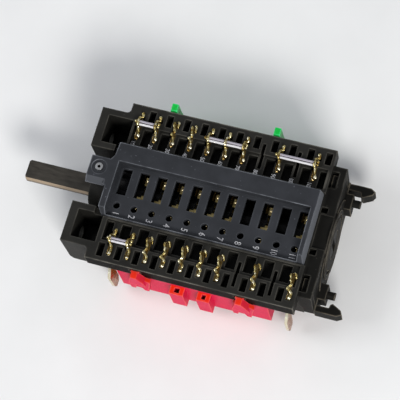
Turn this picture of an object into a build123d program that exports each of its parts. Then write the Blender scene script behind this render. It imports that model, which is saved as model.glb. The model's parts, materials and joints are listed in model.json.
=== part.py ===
from build123d import *
import math
import os

os.makedirs("parts", exist_ok=True)

# Oven selector switch, millimetres. Origin on the shaft axis in the plane of the front fixing faces.
# +X runs to the rear along the shaft, +Y is the far terminal row, +Z is up.

# Driving dimensions: contact positions
count = 11
pitch = 5.0
first_x = 11.9
contact_positions = [2, 3, 4, 5, 6, 7, 9, 11]
terminal_positions = [1, 2, 3, 4, 5, 6, 7, 9, 11]
tab_positions = [1, 11]
near_offset = 2.0
far_offset = near_offset - pitch / 2
blade_offset = 1.15
last_x = first_x + pitch * (count - 1)

# Driving dimensions: housing
block_x0 = 7.9
block_x1 = last_x + 4.1
ledge_half = 22.8
ledge_top = 10.2
ledge_bottom = 4.7
core_half = 17.0
base_z = -13.2
zone_top = 9.0
zone_inner = 10.9
zone_outer = core_half - 0.1
near_zone_x0 = 10.95
far_zone_x0 = 10.1
pocket_floor = 5.6
pocket_width = 2.7
near_pocket = (zone_inner + 0.3, core_half - 1.1)
far_pocket = (zone_inner + 0.7, core_half - 0.6)
window_width = 1.75
near_window = (core_half + 0.7, core_half + 4.5)
far_window = (core_half + 1.2, core_half + 4.6)
window_floor = 5.7
sheet = 0.8
slot_clear = 0.05
near_plate = (core_half - 3.5, core_half + 3.6)
far_plate = (core_half - 3.8, core_half + 2.9)
window_shift = 0.12
jumper_near = core_half - 0.5
jumper_far = core_half + 0.35
plate_bottom = 5.6
tab_stem = (1.0, 3.0)

# Driving dimensions: chamber, drum and blades
chamber_x0 = 9.0
chamber_half = 9.7
chamber_floor = 2.0
deck_z = 8.2
bore_r = 7.6
lobe_r = 5.1
notch_r = 3.9
core_r = 3.7
track_width = 3.2
step_count = 12
drum_end_gap = 0.1
blade_z = 6.85
blade_sheet = 0.3
blade_width = 1.7
nose_clear = 0.08
blade_root_y = 0.1 - chamber_half
blade_pivot_y = blade_root_y + 0.6
blade_tip_y = 3.8
contact_y = 3.0
contact_half = 0.6
contact_head = 0.4
far_foot_z = 4.8
near_foot_z = 5.95
tang_half = 0.4
tang_head_half = 0.65
running_gap = 0.1
arm_roof = 0.9

# Driving dimensions: shaft and bearings
shaft_r = 3.0
shaft_flat = 1.6
shaft_tip_x = -17.7
shaft_flat_end = 1.4
shaft_inner_x = 15.0
bearing_clear = 0.05
boss_r = 5.5
boss_x0 = 1.9
journal_r = 3.9

# Driving dimensions: detent
detent_wheel_r = 6.9
detent_x0 = 9.4
detent_width = 3.4
nose_r = 1.52
nose_fit = 0.08
nose_depth = 0.8
follower_half = 3.0
follower_z0 = -10.5
follower_travel = 0.85
detent_floor = -12.0

# Driving dimensions: wells
fixing_spacing = 28.0
fixing_hole_r = 2.1
well_x1 = 9.9
well_half = 5.76
corner_r = 1.1
well_wall = 1.8
well_front = 2.4
well_mouth_x1 = 9.5
well_bottom = -6.4
well_floor = -4.6

# Driving dimensions: cover
cover_half = 10.35
cover_x0 = 7.8
cover_x1 = last_x + 2.8
cover_top = 12.2
cover_floor = 9.4
cover_gap = 0.05
cover_corner = (1.1, 1.8)
recess_y0 = -9.95
recess_y1 = 5.1
recess_x0 = 9.6
recess_draft = 0.6
end_slope = 0.8
curb_z = 10.0
slot_width = 2.7
slot_y0 = -3.3
slot_y1 = 4.2
slot_offset = 0.15
hole_r = 0.95
hole_y = -6.51
lug_x0 = 1.9
lug_y0 = -0.8
lug_y1 = 5.1
lug_bottom = 10.6
rivet_x = 4.72
rivet_y = 2.2
rivet_r = 0.8
rivet_head_r = 1.15
rivet_hole_r = 0.4

# Driving dimensions: rear collar and end cap
collar_len = 3.83
collar_half = 18.8
collar_top = 9.1
collar_bottom = -4.9
collar_core_half = 16.5
collar_x1 = block_x1 + collar_len
cap_seat_x = collar_x1 - 2.2
cap_half = 17.2
cap_low_half = 15.2
cap_gap = 0.1
disc_r = 9.7
groove_r = (7.4, 8.4)
disc_x1 = collar_x1 + 0.75
journal_end = disc_x1 - 0.15
flange_x1 = collar_x1 + 0.4
hook_z = (-7.0, -2.2)
hook_len = 7.6
stud_y = 13.4

# Driving dimensions: side strips
strip_face = 22.0
strip_x0 = 15.4
strip_len = 42.8
strip_z = (-11.3, 4.6)
strip_wall = 1.0
strip_shift = pitch / 2
clip_spacing = 29.2
clip_x = 22.0
clip_out = (ledge_half + 0.15, ledge_half + 2.2)
clip_step = 0.9
clip_top = (9.0, 11.2)


def box(x0, x1, y0, y1, z0, z1):
    return Pos((x0 + x1) / 2, (y0 + y1) / 2, (z0 + z1) / 2) * Box(x1 - x0, y1 - y0, z1 - z0)


def side_box(x0, x1, a0, a1, z0, z1, side):
    return box(x0, x1, min(side * a0, side * a1), max(side * a0, side * a1), z0, z1)


def rod_x(r, x0, x1, y=0.0, z=0.0):
    return Pos((x0 + x1) / 2, y, z) * Rot(0, 90, 0) * Cylinder(r, x1 - x0)


def rod_z(r, z0, z1, x, y):
    return Pos(x, y, (z0 + z1) / 2) * Cylinder(r, z1 - z0)


def post(half, z0, z1, x, y):
    return box(x - half, x + half, y - half, y + half, z0, z1)


def prism_x(points, x0, x1):
    face = make_face(Polyline(*[(x0, y, z) for y, z in points], close=True))
    return extrude(face, amount=x1 - x0, dir=(1, 0, 0))


def prism_y(points, y0, y1):
    face = make_face(Polyline(*[(x, y0, z) for x, z in points], close=True))
    return extrude(face, amount=y1 - y0, dir=(0, 1, 0))


def side_prism_y(points, a0, a1, side):
    return prism_y(points, min(side * a0, side * a1), max(side * a0, side * a1))


def prism_z(points, z0, z1):
    face = make_face(Polyline(*[(x, y, z0) for x, y in points], close=True))
    return extrude(face, amount=z1 - z0, dir=(0, 0, 1))


def position_x(i):
    return first_x + pitch * (i - 1)


def near_x(i):
    return position_x(i) + near_offset


def far_x(i):
    return position_x(i) + far_offset


# Derived levels
all_positions = range(1, count + 1)
blade_top = blade_z + blade_sheet
nose_bottom = lobe_r + nose_clear
detent_centre = detent_wheel_r - nose_depth + nose_r + nose_fit
detent_x1 = detent_x0 + detent_width
drum_x0 = chamber_x0 + drum_end_gap
cap_inner_x = block_x1 - 0.4
shoulder_x1 = cap_inner_x - drum_end_gap
slot_half = sheet / 2 + slot_clear
arm_top = deck_z - arm_roof
arm_inner_y = blade_root_y - 0.3

# Housing: ledges, core, wells, boss and collar
housing = box(block_x0, block_x1, -ledge_half, ledge_half, ledge_bottom, ledge_top)
housing += box(block_x0, block_x1, -core_half, core_half, base_z, ledge_bottom)
housing += box(block_x1, collar_x1, -collar_core_half, collar_core_half, base_z, collar_top)
gusset = [
    (block_x1 - 0.5, collar_top),
    (collar_x1, collar_top),
    (collar_x1, collar_bottom),
    (block_x1 + 1.1, collar_bottom),
    (block_x1 + 0.7, -1.2),
    (block_x1 - 0.5, 2.3),
]
housing += prism_y(gusset, -collar_half, collar_half)
for side in (-1, 1):
    centre = side * fixing_spacing / 2
    well = [
        (0.0, ledge_top),
        (well_x1, ledge_top),
        (well_x1, well_bottom),
        (0.9, well_bottom),
        (0.0, well_bottom + 1.9),
    ]
    housing += prism_y(well, centre - well_half, centre + well_half)
    side_y = side * (fixing_spacing / 2 + well_half)
    round_y = side_y + side * corner_r
    corner = side_box(block_x0 - corner_r, block_x0 + 0.1, abs(side_y) - 0.1, abs(side_y) + corner_r,
                      ledge_bottom, ledge_top, side)
    corner -= rod_z(corner_r, ledge_bottom - 1, ledge_top + 1, block_x0 - corner_r, round_y)
    housing += corner
housing += rod_x(boss_r, boss_x0, block_x0 + 0.5)
housing += box(lug_x0, block_x0 + 0.5, lug_y0, lug_y1, 0.0, lug_bottom)
housing += box(3.4, block_x0 + 0.5, -8.6, 8.6, well_bottom, -1.0)

# Housing cut-outs: wells, chamber, drum bore and bearing
for side in (-1, 1):
    centre = side * fixing_spacing / 2
    mouth_half = well_half - well_wall
    housing -= box(well_front, well_mouth_x1, centre - mouth_half, centre + mouth_half,
                   well_floor, ledge_top + 1)
    housing -= rod_x(fixing_hole_r, -1, well_front + 1, centre, 0.0)
chamber_x1 = block_x1 - 1.1
housing -= box(chamber_x0, chamber_x1, -chamber_half, chamber_half, chamber_floor, deck_z + 5)
cover_bed = cover_half + cover_gap
housing -= box(cover_x0 - 1.0, cover_x1 + 0.1, -cover_bed, cover_bed, deck_z, ledge_top + 5)
housing += box(lug_x0, chamber_x0, lug_y0, lug_y1, deck_z - 0.5, deck_z)
housing += box(lug_x0, cover_x0 - 1.0, lug_y0, lug_y1, deck_z - 0.5, lug_bottom)
housing -= box(cover_x1 + 0.1, block_x1, -cover_half, cover_half, collar_top, ledge_top + 1)
housing -= rod_x(bore_r, chamber_x0, cap_seat_x + 1)
housing -= rod_x(shaft_r + bearing_clear, boss_x0 - 1, chamber_x0 + 1)
housing -= rod_z(rivet_r, lug_bottom - 5.0, lug_bottom + 3, rivet_x, rivet_y)

# Housing cut-outs: terminal rows
for side, zone_x0 in ((-1, near_zone_x0), (1, far_zone_x0)):
    housing -= side_box(zone_x0, block_x1 - 1.1, zone_inner, zone_outer, zone_top, ledge_top + 1, side)
for i in all_positions:
    near_mid = near_x(i) - 2.4
    far_mid = far_x(i) + 2.75
    half = pocket_width / 2
    pocket_x0 = max(near_mid - half, near_zone_x0)
    housing -= side_box(pocket_x0, near_mid + half, *near_pocket, pocket_floor, zone_top + 1, -1)
    half -= 0.1
    housing -= side_box(far_mid - half, far_mid + half, *far_pocket, pocket_floor, zone_top + 1, 1)
    for mid, window, side in ((near_mid, near_window, -1), (far_mid, far_window, 1)):
        x0 = mid + window_shift - window_width / 2
        housing -= side_box(x0, x0 + window_width, *window, window_floor, ledge_top + 1, side)
    floor = plate_bottom - 0.1
    for x, plate, foot_z, side in (
        (near_x(i), near_plate, near_foot_z, -1),
        (far_x(i), far_plate, far_foot_z, 1),
    ):
        x0 = x - slot_half
        x1 = x + slot_half
        housing -= side_box(x0, x1, plate[0] - 0.1, plate[1] + 0.1, floor, ledge_top + 1, side)
        if i in terminal_positions:
            housing -= side_box(x0, x1, chamber_half - 1, plate[0], foot_z - 0.1, arm_top + 0.1, side)
        if i in tab_positions:
            stem0 = core_half + tab_stem[0] - 0.1
            stem1 = core_half + tab_stem[1] + 0.1
            housing -= side_box(x0, x1, stem0, stem1, ledge_bottom - 1, 6.0, side)

# Housing cut-outs: clip notches in the ledge sides
for side, shift in ((-1, 0.0), (1, strip_shift)):
    for k in (0, 1):
        x = clip_x - shift + clip_spacing * k
        housing -= side_box(x - 1.6, x + 1.6, ledge_half - 0.6, ledge_half + 1, 7.4, 9.0, side)

# Housing cut-outs: collar windows and end cap seat
for side in (-1, 1):
    housing -= side_box(block_x1, block_x1 + 2.0, 12.5, 17.2, 6.6, collar_top + 1, side)
    housing -= side_box(block_x1 - 0.1, block_x1 + 1.7, 5.2, 6.8, 6.9, collar_top + 1, side)
housing -= box(block_x1 + 0.1, collar_x1 + 1, -4.7, 4.7, collar_top - 0.4, collar_top + 1)
housing -= box(cap_seat_x, collar_x1 + 1, -cap_half - cap_gap, cap_half + cap_gap, -3.7, 7.9 + cap_gap)
low_half = cap_low_half + cap_gap
housing -= box(cap_seat_x, collar_x1 + 1, -low_half, low_half, -12.0, -3.6)

# Housing cut-outs: detent guide and cored underside
guide_x0 = detent_x0 - 0.05
guide_x1 = detent_x1 + 0.05
guide_half = follower_half + nose_fit
housing -= box(guide_x0, guide_x1, -guide_half, guide_half, detent_floor, -5.0)
core_bays = 5
bay_start = block_x0 + 7.0
bay_pitch = (block_x1 - 1.6 - bay_start) / core_bays
for k in range(core_bays):
    x0 = bay_start + bay_pitch * k
    x1 = x0 + bay_pitch - 1.6
    housing -= box(x0, x1, -6.0, 6.0, base_z - 1, -bore_r - 1.5)
    for side in (-1, 1):
        housing -= side_box(x0, x1, bore_r + 1.7, core_half - 1.8, base_z - 1, 0.6, side)
export_step(housing, "parts/housing.step")

# Contact cover
cover_plan = [
    (cover_x0, cover_corner[1] - cover_half),
    (cover_x0 + cover_corner[0], -cover_half),
    (cover_x1, -cover_half),
    (cover_x1, cover_half),
    (cover_x0 + 0.5, cover_half),
    (cover_x0 + 0.2, 6.4),
    (cover_x0 - 0.6, lug_y1),
    (cover_x0 - 0.6, lug_y0 - 1.6),
    (cover_x0, lug_y0 - 1.6),
]
cover = prism_z(cover_plan, deck_z, cover_top)
lug = [
    (lug_y0, cover_top),
    (lug_y1, cover_top),
    (lug_y1, lug_bottom),
    (lug_y0 - 1.6, lug_bottom),
    (lug_y0 - 1.6, lug_bottom + 0.4),
]
cover += prism_x(lug, lug_x0, cover_x0 + 0.5)
cover -= box(lug_x0 - 1, cover_x0 - 0.55, -12, 12, deck_z - 1, lug_bottom)
cover -= box(lug_x0 - 1, cover_x0 - 0.55, lug_y1, 12, deck_z - 1, cover_top + 1)
recess_x1 = cover_x1 - 1.3
recess = [
    (recess_x0 + recess_draft, cover_floor),
    (recess_x0, cover_top),
    (recess_x0, cover_top + 1),
    (recess_x1, cover_top + 1),
    (recess_x1, cover_floor),
]
cover -= prism_y(recess, recess_y0, recess_y1)
end_face = [
    (cover_x1 - 0.5, cover_top),
    (cover_x1, cover_top),
    (cover_x1 + end_slope, collar_top + cover_gap),
    (cover_x1 - 0.5, collar_top + cover_gap),
]
cover += prism_y(end_face, -cover_half, cover_half)
near_slope = [
    (cover_corner[1] - cover_half, cover_top),
    (cover_corner[1] - cover_half, cover_top + 1),
    (-cover_half - 1, cover_top + 1),
    (-cover_half - 1, curb_z),
    (-cover_half, curb_z),
]
cover -= prism_x(near_slope, cover_x0 - 1, cover_x1 + 2)
for i in all_positions:
    x = position_x(i) + slot_offset
    cover -= box(x - slot_width / 2, x + slot_width / 2, slot_y0, slot_y1, deck_z - 1, cover_floor + 1)
    cover -= rod_z(hole_r, deck_z - 1, cover_floor + 1, position_x(i), hole_y)
cover -= rod_z(2.05, cover_top - 0.2, cover_top + 1, rivet_x, rivet_y)
cover -= rod_z(rivet_r, lug_bottom - 1, cover_top + 1, rivet_x, rivet_y)
export_step(cover, "parts/contact_cover.step")

# Tubular rivet through the cover lug
rivet = rod_z(rivet_r, lug_bottom - 4.8, cover_top - 0.2, rivet_x, rivet_y)
rivet += rod_z(rivet_head_r, cover_top - 0.2, cover_top + 0.2, rivet_x, rivet_y)
rivet -= rod_z(rivet_hole_r, cover_top - 2.5, cover_top + 1, rivet_x, rivet_y)
export_step(rivet, "parts/cover_rivet.step")

# Selector shaft with the flat upward
shaft = rod_x(shaft_r, shaft_tip_x, shaft_inner_x)
shaft = chamfer(shaft.faces().sort_by(Axis.X)[0].edges(), 0.35)
shaft -= box(shaft_tip_x - 1, shaft_flat_end, -4, 4, shaft_flat, 4)
shaft -= box(drum_x0, shaft_inner_x + 1, -4, 4, 2.4, 4)
export_step(shaft, "parts/selector_shaft.step")

# Cam drum: one lobed track for each fitted contact, one value for each 30 degree step
programmes = {
    2: "110111011101",
    3: "101101101101",
    4: "111011101110",
    5: "100110011001",
    6: "111100111100",
    7: "101010101011",
    9: "110011001100",
    11: "111111101111",
}


def track_profile(programme, x0, x1):
    step = 360.0 / len(programme)
    ramp = 5.0
    points = []
    for k, lobe in enumerate(programme):
        r = lobe_r if lobe == "1" else notch_r
        for angle in (k * step + ramp, (k + 1) * step - ramp):
            a = math.radians(angle)
            points.append((r * math.cos(a), r * math.sin(a)))
    return prism_x(points, x0, x1)


hub_r = 4.6
hub_flat = 3.9
drum = rod_x(hub_r, drum_x0, detent_x1 + 0.4)
drum -= box(drum_x0 - 1, detent_x1, -6, 6, hub_flat, 6)
flats = [360.0 / step_count * (k + 0.5) for k in range(step_count)]
core = [(core_r * math.cos(math.radians(a)), core_r * math.sin(math.radians(a))) for a in flats]
drum += prism_x(core, detent_x1, shoulder_x1)
for i in contact_positions:
    x = position_x(i) + blade_offset
    drum += track_profile(programmes[i], x - track_width / 2, x + track_width / 2)
drum += rod_x(lobe_r, shoulder_x1 - 0.6, shoulder_x1)
drum += rod_x(journal_r, shoulder_x1, journal_end)
drum -= rod_x(shaft_r, drum_x0 - 1, shaft_inner_x) - box(drum_x0 - 2, shaft_inner_x + 1, -4, 4, 2.4, 4)
drum -= rod_x(2.4, shaft_inner_x - 1, journal_end - 5)
drum -= box(journal_end - 3.5, journal_end + 1, -1.1, 1.1, -5, 5)
export_step(drum, "parts/cam_drum.step")

# Detent wheel keyed on the drum hub
wheel = rod_x(detent_wheel_r, detent_x0, detent_x1)
for k in range(step_count):
    a = math.radians(-90 + 360 / step_count * k)
    wheel -= rod_x(nose_r + nose_fit, detent_x0 - 1, detent_x1 + 1,
                   detent_centre * math.cos(a), detent_centre * math.sin(a))
hub_bore = rod_x(hub_r, detent_x0 - 1, detent_x1 + 1)
wheel -= hub_bore - box(detent_x0 - 2, detent_x1 + 2, -6, 6, hub_flat, 6)
export_step(wheel, "parts/detent_wheel.step")

# Detent follower and its bowed leaf spring
follower = box(detent_x0 + 0.05, detent_x1 - 0.05, -follower_half, follower_half, follower_z0, -7.9)
follower += rod_x(nose_r, detent_x0 + 0.05, detent_x1 - 0.05, 0.0, -detent_centre)
follower += box(detent_x0 + 0.05, detent_x1 - 0.05, -nose_r, nose_r, -8.5, -detent_centre)
export_step(follower, "parts/detent_follower.step")

leaf_crown = follower_z0 - follower_travel - 0.05
leaf = [
    (-2.9, detent_floor),
    (-2.3, detent_floor),
    (-0.8, leaf_crown - 0.3),
    (0.8, leaf_crown - 0.3),
    (2.3, detent_floor),
    (2.9, detent_floor),
    (2.9, detent_floor + 0.3),
    (2.4, detent_floor + 0.3),
    (0.9, leaf_crown),
    (-0.9, leaf_crown),
    (-2.4, detent_floor + 0.3),
    (-2.9, detent_floor + 0.3),
]
detent_spring = prism_x(leaf, detent_x0 + 0.3, detent_x1 - 0.3)
export_step(detent_spring, "parts/detent_spring.step")

# Terminals: plate in the ledge slot, formed top edge, inner tongue in the chamber
top_z0 = ledge_top
top_z1 = ledge_top + 0.7


def formed_top(x, far_end, near_end):
    """Plan of the formed top: a limb that steps to the left and back, hooked at its far end."""
    length = far_end - near_end
    w = sheet / 2
    steps = [(0.0, 0.15), (0.25, 0.1), (0.42, -0.6), (0.58, -0.15), (0.85, -0.55)]
    limb = [(x + dx, near_end + length * t) for t, dx in steps]
    left = [(px - w, py) for px, py in limb]
    right = [(px + w, py) for px, py in limb[:4]]
    hook_y = near_end + length * 0.84
    hook = [(x + 0.2, hook_y), (x + 1.1, hook_y), (x + 0.9, far_end), (x - 0.4, far_end)]
    return prism_z(left[::-1] + right + hook, top_z0, top_z1)


tab_levels = [
    (tab_stem[0], 6.4), (tab_stem[1], 6.4), (tab_stem[1], 4.2), (5.6, 3.2), (7.6, 0.5), (7.5, -7.1),
    (6.7, -9.6), (4.9, -9.5), (4.1, -7.2), (4.1, -2.0), (tab_stem[0], -0.5),
]
tab_outline = [(core_half + out, z) for out, z in tab_levels]
for i in terminal_positions:
    x = near_x(i)
    near_end, far_end = -near_plate[1], -near_plate[0]
    terminal = box(x - sheet / 2, x + sheet / 2, near_end + 0.1, far_end, plate_bottom, top_z0)
    terminal += formed_top(x, far_end, near_end)
    terminal += box(x - sheet / 2, x + sheet / 2, far_end, arm_inner_y, near_foot_z, arm_top)
    foot_x = position_x(i) + blade_offset
    foot_end_y = blade_pivot_y + 0.7
    foot_top = near_foot_z + sheet
    terminal += box(x - sheet / 2, x + sheet / 2, arm_inner_y, foot_end_y, near_foot_z, foot_top)
    terminal += box(foot_x - blade_width / 2, x, blade_root_y, foot_end_y, near_foot_z, foot_top)
    if i in contact_positions:
        terminal += post(tang_half, foot_top, blade_top + running_gap, foot_x, blade_pivot_y)
        terminal += post(tang_head_half, blade_top + running_gap, blade_top + 0.4, foot_x, blade_pivot_y)
    if i in tab_positions:
        terminal += prism_x([(-a, b) for a, b in tab_outline], x - sheet / 2, x + sheet / 2)
    export_step(terminal, f"parts/near_terminal_{i:02d}.step")

    x = far_x(i)
    near_end, far_end = far_plate
    terminal = box(x - sheet / 2, x + sheet / 2, near_end, far_end - 0.1, plate_bottom, top_z0)
    terminal += formed_top(x, far_end, near_end)
    terminal += box(x - sheet / 2, x + sheet / 2, chamber_half - 1.0, near_end, far_foot_z, arm_top)
    reach = contact_y - contact_half if i in contact_positions else 6.0
    foot_top = far_foot_z + sheet
    foot_x1 = foot_x + contact_half + 0.05
    terminal += box(x - sheet / 2, foot_x1, reach, chamber_half - 0.3, far_foot_z, foot_top)
    if i in contact_positions:
        terminal += post(contact_half, foot_top, foot_top + 0.25, foot_x, contact_y)
    if i in tab_positions:
        terminal += prism_x(tab_outline, x - sheet / 2, x + sheet / 2)
    export_step(terminal, f"parts/far_terminal_{i:02d}.step")

# Contact springs: strip with a formed nose over the cam track and a contact at the tip
for i in contact_positions:
    x = position_x(i) + blade_offset
    t = blade_sheet
    profile = [
        (blade_root_y, blade_z), (-1.5, blade_z), (-0.45, nose_bottom),
        (0.45, nose_bottom), (1.5, blade_z), (blade_tip_y, blade_z),
        (blade_tip_y, blade_z + t), (1.35, blade_z + t), (0.3, nose_bottom + t),
        (-0.3, nose_bottom + t), (-1.35, blade_z + t), (blade_root_y, blade_z + t),
    ]
    blade = prism_x(profile, x - blade_width / 2, x + blade_width / 2)
    blade += box(x - blade_width / 2 - 1.1, x, -3.2, -2.1, blade_z, blade_z + t)
    blade += post(contact_half, blade_z - contact_head, blade_top + 0.2, x, contact_y)
    blade -= post(tang_half + running_gap, blade_z - 1, blade_top + 1, x, blade_pivot_y)
    export_step(blade, f"parts/contact_spring_{i:02d}.step")

# Jumpers across neighbouring terminals
jumper_z0 = top_z1
for name, first, last, side in (
    ("near_jumper_1_2", 1, 2, -1),
    ("far_jumper_1_2", 1, 2, 1),
    ("far_jumper_5_7", 5, 7, 1),
    ("far_jumper_9_11", 9, 11, 1),
):
    place = near_x if side < 0 else far_x
    a = place(first) - 0.7
    b = place(last) + 0.7
    y = jumper_near if side < 0 else jumper_far
    strap = side_box(a, b, y - 0.55, y + 0.55, jumper_z0, jumper_z0 + 0.5, side)
    strap -= side_box(a - 1, b + 1, y - 0.1, y + 0.1, jumper_z0 + 0.3, jumper_z0 + 1, side)
    export_step(strap, f"parts/{name}.step")

# Side strips: open-backed channel with end walls, two hollow boxes and two clip loops
for name, side, shift, top in (
    ("near_strip", -1, 0.0, clip_top[0]),
    ("far_strip", 1, strip_shift, clip_top[1]),
):
    x0 = strip_x0 - shift
    x1 = x0 + strip_len
    z0, z1 = strip_z
    w = strip_wall
    strip = side_box(x0, x1, core_half, strip_face, z0, z1, side)
    strip -= side_box(x0 + w, x1 - w, core_half - 1, strip_face - w, z0 + w, z1 - w, side)
    for a, b in ((15.5, 19.5), (23.2, 26.9)):
        strip += side_box(x0 + a, x0 + b, strip_face - 0.2, 24.4, -9.5, 0.5, side)
        strip -= side_box(x0 + a + 1.3, x0 + b - 1.3, strip_face + 0.5, 23.8, -8.5, 1.0, side)
    for k in (0, 1):
        c = clip_x - shift + clip_spacing * k
        legs = [
            (c - 2.7, -1.0), (c - 2.4, -4.2), (c - 1.2, -4.2), (c - 0.2, 1.0), (c + 1.4, -4.5),
            (c + 2.6, -4.5), (c + 4.0, 4.4), (c + 2.3, 5.5), (c - 1.4, 5.5),
        ]
        foot = 2.9 if side < 0 else 1.5
        rib = [(c - 1.9, 3.0), (c + foot, 3.0), (c + foot - 0.3, 5.5), (c + 1.0, top), (c - 0.7, top)]
        strip += side_prism_y(legs, clip_out[0], clip_out[1] - clip_step, side)
        strip += side_prism_y(rib, clip_out[0], clip_out[1], side)
        strip += side_box(c - 2.2, c + 2.6, strip_face - 0.5, clip_out[0] + 0.3, -0.6, 3.6, side)
        strip += side_box(c - 1.0, c + 1.3, ledge_half - 0.4, clip_out[0] + 0.3, 7.6, 8.8, side)
    export_step(strip, f"parts/{name}.step")

# Rear end cap: plate in the collar, drum bearing, grooved boss, hooks and studs
cap = box(cap_seat_x, collar_x1, -cap_half, cap_half, -3.6, 7.9)
cap += box(cap_seat_x, collar_x1, -cap_low_half, cap_low_half, -11.9, -3.5)
cap += rod_x(bore_r - 0.1, cap_inner_x, cap_seat_x + 0.5)
flange_half = collar_half - 0.1
rim = [(13.4, -1.0), (12.2, 2.4), (10.5, 4.6), (8.0, 6.6), (4.0, 8.6)]
flange = [(-flange_half, hook_z[0]), (flange_half, hook_z[0]), (flange_half, -1.4)]
flange += rim + [(-y, z) for y, z in reversed(rim)] + [(-flange_half, -1.4)]
cap += prism_x(flange, collar_x1, flange_x1)
boss = rod_x(disc_r, collar_x1, disc_x1)
boss -= rod_x(groove_r[1], disc_x1 - 0.45, disc_x1 + 1) - rod_x(groove_r[0], disc_x1 - 1, disc_x1 + 2)
cap += boss
for side in (-1, 1):
    hook = [
        (collar_x1, 18.7), (collar_x1 + 6.2, 18.7), (collar_x1 + hook_len, 17.9),
        (collar_x1 + 7.0, 16.8), (collar_x1 + 4.5, 15.5), (collar_x1 + 3.9, 15.9),
        (collar_x1 + 3.7, 16.9), (collar_x1, 16.9),
    ]
    cap += prism_z([(x, side * y) for x, y in hook], *hook_z)
    cap += side_box(collar_x1, collar_x1 + 2.3, stud_y - 2.5, stud_y + 2.0, hook_z[0], -1.0, side)
    cap += rod_x(1.1, collar_x1 + 2.2, collar_x1 + 4.6, side * stud_y, -2.6)
    cap += side_box(block_x1 + 0.4, cap_seat_x + 0.1, 13.0, 16.7, 6.8, 7.7, side)
cap -= rod_x(journal_r + bearing_clear, cap_inner_x - 1, disc_x1 + 1)
export_step(cap, "parts/rear_end_cap.step")
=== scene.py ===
import json
import math
import random

import bpy
import bmesh
from mathutils import Matrix, Vector


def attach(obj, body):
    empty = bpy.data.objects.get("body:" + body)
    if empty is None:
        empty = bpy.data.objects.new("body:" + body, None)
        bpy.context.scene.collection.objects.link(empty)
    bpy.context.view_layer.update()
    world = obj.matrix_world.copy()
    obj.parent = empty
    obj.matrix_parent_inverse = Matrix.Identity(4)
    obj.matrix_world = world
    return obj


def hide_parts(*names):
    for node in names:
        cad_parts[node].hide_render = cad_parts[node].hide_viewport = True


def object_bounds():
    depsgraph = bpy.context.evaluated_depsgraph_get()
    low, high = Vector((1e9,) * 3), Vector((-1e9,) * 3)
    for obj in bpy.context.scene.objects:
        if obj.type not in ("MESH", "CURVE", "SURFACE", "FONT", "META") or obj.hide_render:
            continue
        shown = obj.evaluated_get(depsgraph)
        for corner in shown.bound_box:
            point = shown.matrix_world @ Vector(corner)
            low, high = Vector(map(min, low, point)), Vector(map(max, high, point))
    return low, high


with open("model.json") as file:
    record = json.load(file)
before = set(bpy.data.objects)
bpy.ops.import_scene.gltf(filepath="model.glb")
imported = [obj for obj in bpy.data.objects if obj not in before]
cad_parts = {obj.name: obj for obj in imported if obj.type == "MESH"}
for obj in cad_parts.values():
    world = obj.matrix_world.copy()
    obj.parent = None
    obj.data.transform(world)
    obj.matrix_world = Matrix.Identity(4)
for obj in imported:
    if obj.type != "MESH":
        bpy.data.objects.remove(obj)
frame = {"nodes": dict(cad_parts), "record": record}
CAD_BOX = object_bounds()
MM = 0.001
BODY = "switch_body"

# Sizes shared with the part, in millimetres
PITCH = 5.0
FIRST_X = 11.9
NEAR_OFFSET = 2.0
FAR_OFFSET = NEAR_OFFSET - PITCH / 2
POSITIONS = range(1, 12)
FITTED = [1, 2, 3, 4, 5, 6, 7, 9, 11]
LEDGE_TOP = 10.2
LEDGE_BOTTOM = 4.7
ZONE_TOP = 9.0
BLADE_OFFSET = 1.15
BLADE_TOP = 7.15
COVER_FLOOR = 9.4
HOLE_Y = -6.51
RIVET = (4.72, 2.2)
RIVET_RADIUS = 1.05
ROW_REACH = 25.0
JUMPER_NEAR = -16.5
JUMPER_FAR = 17.35
JUMPERS = [
    ("near_jumper_1_2", 1, 2, -1),
    ("far_jumper_1_2", 1, 2, 1),
    ("far_jumper_5_7", 5, 7, 1),
    ("far_jumper_9_11", 9, 11, 1),
]


def position_x(i):
    return FIRST_X + PITCH * (i - 1)


def near_x(i):
    return position_x(i) + NEAR_OFFSET


def far_x(i):
    return position_x(i) + FAR_OFFSET


# Camera at the photograph's angle: its axes and its place, in metres
LENS = 162.0
CAMERA_RIGHT = (0.952457, 0.281247, -0.117158)
CAMERA_UP = (-0.231522, 0.918087, 0.321737)
CAMERA_BACK = (0.198048, -0.279316, 0.939553)
CAMERA_PLACE = (0.12955, -0.13483, 0.46472)


def photo_camera():
    data = bpy.data.cameras.new("camera")
    data.lens = LENS
    data.sensor_width = 36.0
    data.clip_start = 0.01
    data.clip_end = 10.0
    camera = bpy.data.objects.new("camera", data)
    bpy.context.scene.collection.objects.link(camera)
    rows = zip(CAMERA_RIGHT, CAMERA_UP, CAMERA_BACK, CAMERA_PLACE)
    camera.matrix_world = Matrix([*rows, (0, 0, 0, 1)])
    bpy.context.scene.camera = camera


# Soft lights: name, place, size in metres, power and colour
LIGHT_TARGET = (0.035, 0.0, 0.0)
LIGHTS = [
    ("key", (0.70, -0.95, 0.85), (0.55, 0.40), 18.0, (1.0, 0.99, 0.97)),
    ("fill", (-0.80, -0.20, 0.90), (0.60, 0.40), 5.5, (0.95, 0.97, 1.0)),
]


def area_light(name, location, size, power, color):
    data = bpy.data.lights.new(name, "AREA")
    data.shape = "RECTANGLE"
    data.size = size[0]
    data.size_y = size[1]
    data.energy = power
    data.color = color
    light = bpy.data.objects.new(name, data)
    bpy.context.scene.collection.objects.link(light)
    light.location = location
    direction = Vector(LIGHT_TARGET) - Vector(location)
    light.rotation_euler = direction.to_track_quat("-Z", "Y").to_euler()


# World, darker below and above than at the horizon
SKY = [
    (0.0, (0.40, 0.40, 0.40)),
    (0.5, (0.72, 0.74, 0.78)),
    (0.72, (0.40, 0.41, 0.44)),
    (1.0, (0.30, 0.31, 0.34)),
]


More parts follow.
